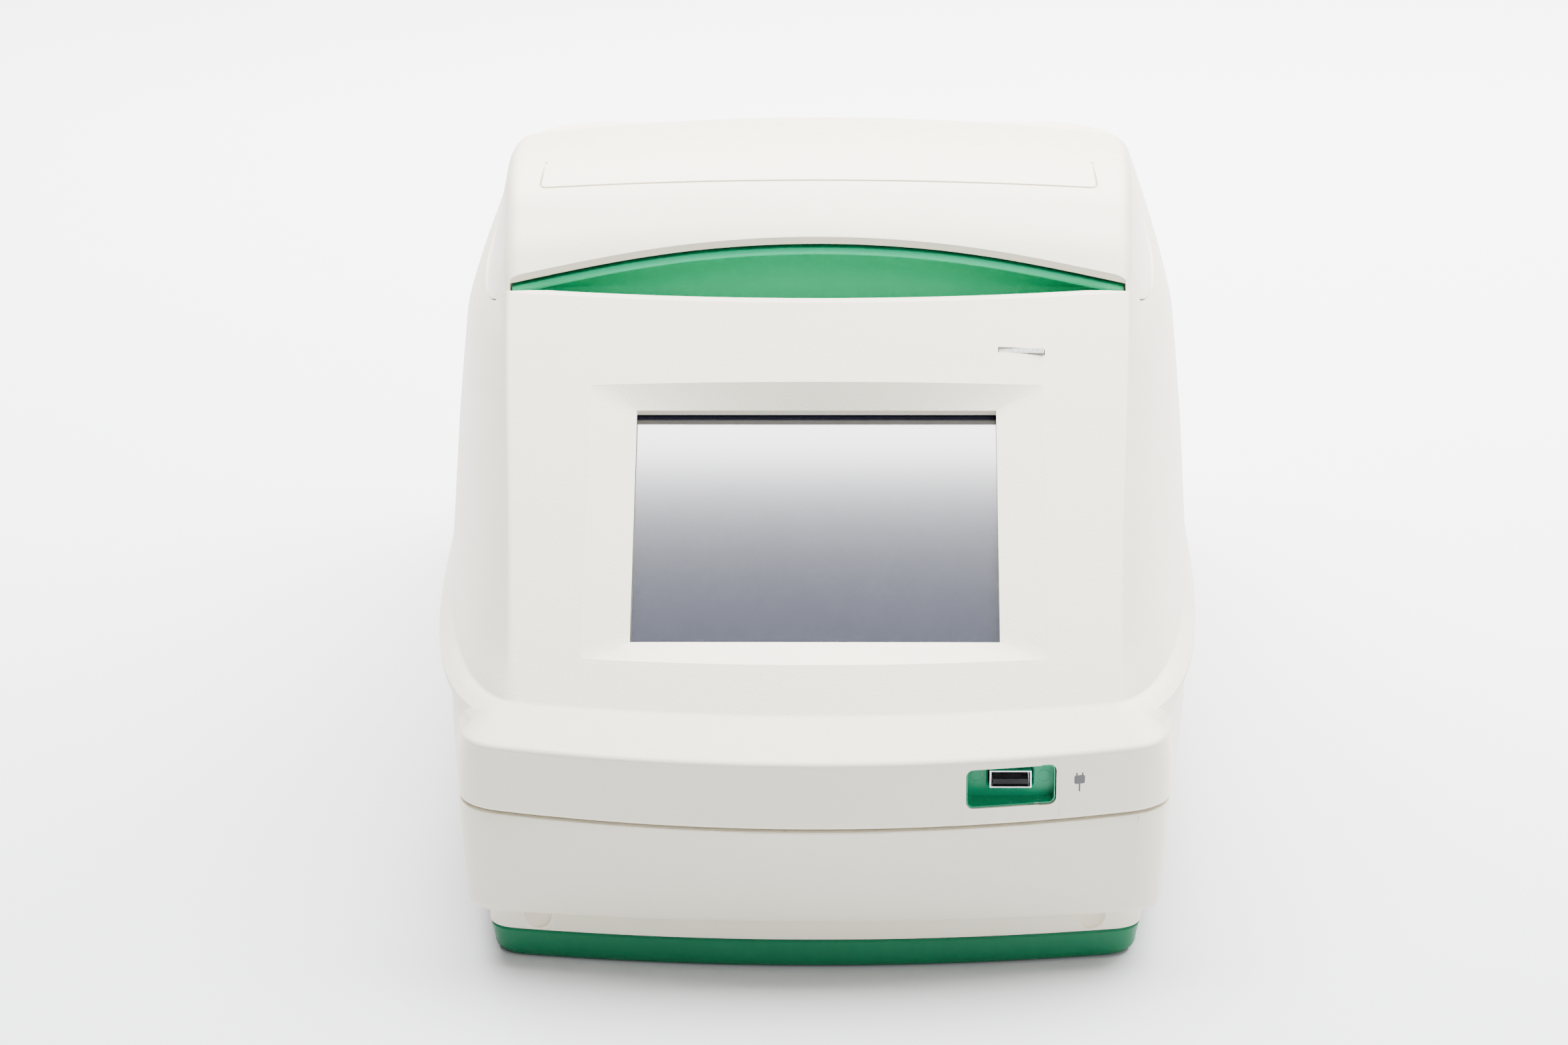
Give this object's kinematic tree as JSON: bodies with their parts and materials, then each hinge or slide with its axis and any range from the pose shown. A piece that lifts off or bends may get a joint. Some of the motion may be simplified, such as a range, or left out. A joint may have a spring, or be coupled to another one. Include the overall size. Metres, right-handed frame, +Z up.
{
  "type": "thermal cycler",
  "caption": "Bench-top thermal cycler with a sloping touch screen panel, a rear-hinged heated lid with a green grip lever, and a well block under the lid.",
  "frame": {"origin": "centre of the footprint, on the table", "axes": "+X to the user's right, +Y to the rear, +Z up"},
  "size_m": [0.26, 0.47, 0.2205],
  "materials": {
    "housing_white": "fine moulded texture, satin",
    "green_plastic": "satin",
    "rubber": "matt",
    "black_plastic": "satin",
    "dark_coating": "satin",
    "screen_glass": "semi-gloss film",
    "status_window": "clear grey",
    "steel": "plated",
    "bright_steel": "bright",
    "aluminium": "anodised",
    "brass": "plated",
    "ceramic": "ceramic plates",
    "circuit_board": "solder mask"
  },
  "bodies": {
    "chassis": {"upper_housing": "housing_white", "base_housing": "housing_white", "block_deck": "housing_white", "bottom_tray": "green_plastic", "usb_pocket": "green_plastic", "foot_front_left": "rubber", "foot_front_right": "rubber", "foot_rear_left": "rubber", "foot_rear_right": "rubber", "block_gasket": "rubber", "display_gasket": "black_plastic", "usb_tongue": "black_plastic", "air_duct": "black_plastic", "fan_frame_left": "black_plastic", "fan_frame_right": "black_plastic", "power_inlet": "black_plastic", "touch_glass": "screen_glass", "status_window": "status_window", "rear_panel": "steel", "lcd_module": "steel", "power_supply": "steel", "hinge_bracket_left": "steel", "hinge_bracket_right": "steel", "hinge_pin": "steel", "latch_striker_left": "steel", "latch_striker_right": "steel", "usb_shell": "bright_steel", "sample_block": "aluminium", "heatsink": "aluminium", "inlet_pin_line": "brass", "inlet_pin_neutral": "brass", "inlet_pin_earth": "brass", "peltier_left": "ceramic", "peltier_right": "ceramic", "display_board": "circuit_board", "main_board": "circuit_board"},
    "lid": {"lid_shell": "housing_white", "lid_liner": "housing_white", "hinge_arm_left": "steel", "hinge_arm_right": "steel", "lever_pin": "steel", "spring_left_front": "steel", "spring_left_rear": "steel", "spring_right_front": "steel", "spring_right_rear": "steel"},
    "heater": {"heater_plate": "dark_coating"},
    "lever": {"grip_lever": "green_plastic", "latch_hook_left": "steel", "latch_hook_right": "steel"},
    "left_fan": {"fan_rotor_left": "dark_coating"},
    "right_fan": {"fan_rotor_right": "dark_coating"},
    "rocker": {"power_rocker": "dark_coating"},
    "drawer": {"fuse_drawer": "black_plastic"}
  },
  "joints": [
    {"name": "lid_hinge", "type": "hinge", "parent": "chassis", "child": "lid", "pos_m": [0, 0.16, 0.165], "axis": [-1, 0, 0], "range_deg": [0, 70]},
    {"name": "heater_slide", "type": "slide", "parent": "lid", "child": "heater", "axis": [0, 0, 1], "range_m": [0, 0.003], "stiffness_N_per_m": 1500, "springref_m": -0.003, "deforming": ["spring_left_front", "spring_left_rear", "spring_right_front", "spring_right_rear"]},
    {"name": "lever_pivot", "type": "hinge", "parent": "lid", "child": "lever", "pos_m": [0, -0.052, 0.197], "axis": [-1, 0, 0], "range_deg": [0, 4], "stiffness_Nm_per_rad": 2, "springref_deg": -8.59},
    {"name": "left_fan_spin", "type": "hinge", "parent": "chassis", "child": "left_fan", "pos_m": [-0.034, 0.211, 0.1], "axis": [0, 1, 0], "continuous": true},
    {"name": "right_fan_spin", "type": "hinge", "parent": "chassis", "child": "right_fan", "pos_m": [0.034, 0.211, 0.1], "axis": [0, 1, 0], "continuous": true},
    {"name": "power_rocker_tilt", "type": "hinge", "parent": "chassis", "child": "rocker", "pos_m": [0.0805, 0.2273, 0.0343], "axis": [-1, 0, 0], "range_deg": [0, 14]},
    {"name": "fuse_drawer_slide", "type": "slide", "parent": "chassis", "child": "drawer", "axis": [0, 1, 0], "range_m": [0, 0.018]}
  ]
}
